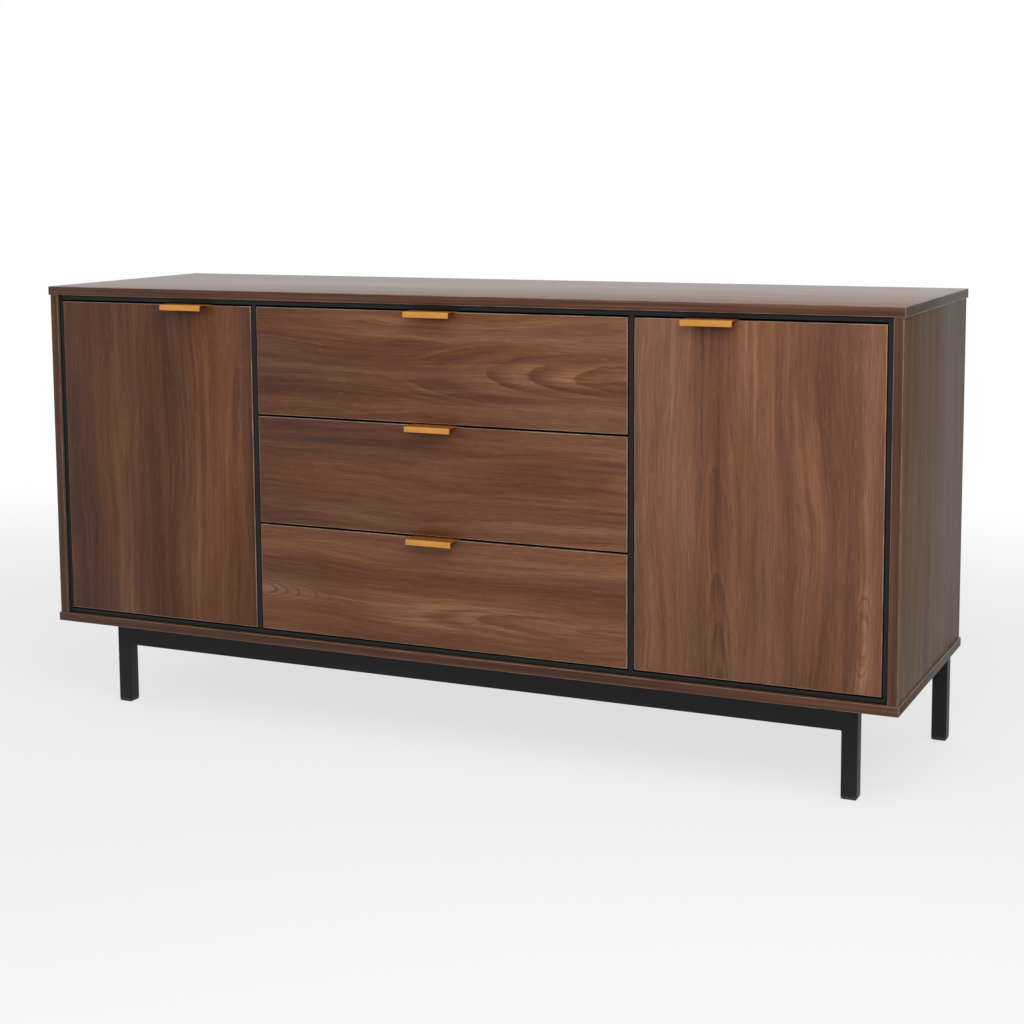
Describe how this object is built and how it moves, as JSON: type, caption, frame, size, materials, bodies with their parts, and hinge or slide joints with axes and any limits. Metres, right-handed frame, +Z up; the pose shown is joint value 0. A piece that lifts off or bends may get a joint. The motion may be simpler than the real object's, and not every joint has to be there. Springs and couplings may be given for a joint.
{
  "type": "office credenza",
  "caption": "Low office credenza with hinged doors beside a drawer stack, in walnut-pattern board with black reveals, folded brass pulls and a black steel base.",
  "frame": {"origin": "middle of the whole box at floor level", "axes": "+X to the right seen from the front, +Y to the back, +Z up; the doors and drawers face -Y"},
  "size_m": [1.5, 0.472, 0.75],
  "materials": {
    "walnut_board": "satin walnut-pattern laminate with edge banding",
    "black_board": "matt black laminate",
    "back_board": "matt dark hardboard",
    "drawer_board": "matt charcoal laminate",
    "black_steel": "fine-texture black powder coat",
    "black_plastic": "moulded matt",
    "brass": "satin brushed",
    "nickel_steel": "nickel plated",
    "zinc_steel": "bright zinc plated"
  },
  "bodies": {
    "carcass": {"top_panel": "walnut_board", "bottom_panel": "walnut_board", "left_side_panel": "walnut_board", "right_side_panel": "walnut_board", "inner_top_board": "black_board", "inner_bottom_board": "black_board", "inner_left_board": "black_board", "inner_right_board": "black_board", "left_partition": "black_board", "right_partition": "black_board", "left_shelf": "black_board", "right_shelf": "black_board", "back_panel": "back_board", "base_frame": "black_steel", "front_left_foot": "black_plastic", "front_right_foot": "black_plastic", "rear_left_foot": "black_plastic", "rear_right_foot": "black_plastic", "left_upper_hinge_arm": "nickel_steel", "left_lower_hinge_arm": "nickel_steel", "right_upper_hinge_arm": "nickel_steel", "right_lower_hinge_arm": "nickel_steel", "lower_drawer_left_rail": "zinc_steel", "lower_drawer_right_rail": "zinc_steel", "middle_drawer_left_rail": "zinc_steel", "middle_drawer_right_rail": "zinc_steel", "upper_drawer_left_rail": "zinc_steel", "upper_drawer_right_rail": "zinc_steel"},
    "left_door": {"left_door": "walnut_board", "left_door_pull": "brass", "left_upper_hinge_cup": "nickel_steel", "left_lower_hinge_cup": "nickel_steel"},
    "right_door": {"right_door": "walnut_board", "right_door_pull": "brass", "right_upper_hinge_cup": "nickel_steel", "right_lower_hinge_cup": "nickel_steel"},
    "lower_drawer": {"lower_drawer_front": "walnut_board", "lower_drawer_pull": "brass", "lower_drawer_back": "drawer_board", "lower_drawer_base": "drawer_board", "lower_drawer_left_side": "drawer_board", "lower_drawer_right_side": "drawer_board", "lower_drawer_left_runner": "zinc_steel", "lower_drawer_right_runner": "zinc_steel"},
    "middle_drawer": {"middle_drawer_front": "walnut_board", "middle_drawer_pull": "brass", "middle_drawer_back": "drawer_board", "middle_drawer_base": "drawer_board", "middle_drawer_left_side": "drawer_board", "middle_drawer_right_side": "drawer_board", "middle_drawer_left_runner": "zinc_steel", "middle_drawer_right_runner": "zinc_steel"},
    "upper_drawer": {"upper_drawer_front": "walnut_board", "upper_drawer_pull": "brass", "upper_drawer_back": "drawer_board", "upper_drawer_base": "drawer_board", "upper_drawer_left_side": "drawer_board", "upper_drawer_right_side": "drawer_board", "upper_drawer_left_runner": "zinc_steel", "upper_drawer_right_runner": "zinc_steel"}
  },
  "joints": [
    {"name": "left_door_hinge", "type": "hinge", "parent": "carcass", "child": "left_door", "pos_m": [-0.709, -0.202, 0.45275], "axis": [0, 0, -1], "range_deg": [0, 95]},
    {"name": "right_door_hinge", "type": "hinge", "parent": "carcass", "child": "right_door", "pos_m": [0.709, -0.202, 0.45275], "axis": [0, 0, 1], "range_deg": [0, 95]},
    {"name": "lower_drawer_slide", "type": "slide", "parent": "carcass", "child": "lower_drawer", "axis": [0, -1, 0], "range_m": [0, 0.3]},
    {"name": "middle_drawer_slide", "type": "slide", "parent": "carcass", "child": "middle_drawer", "axis": [0, -1, 0], "range_m": [0, 0.3]},
    {"name": "upper_drawer_slide", "type": "slide", "parent": "carcass", "child": "upper_drawer", "axis": [0, -1, 0], "range_m": [0, 0.3]}
  ]
}
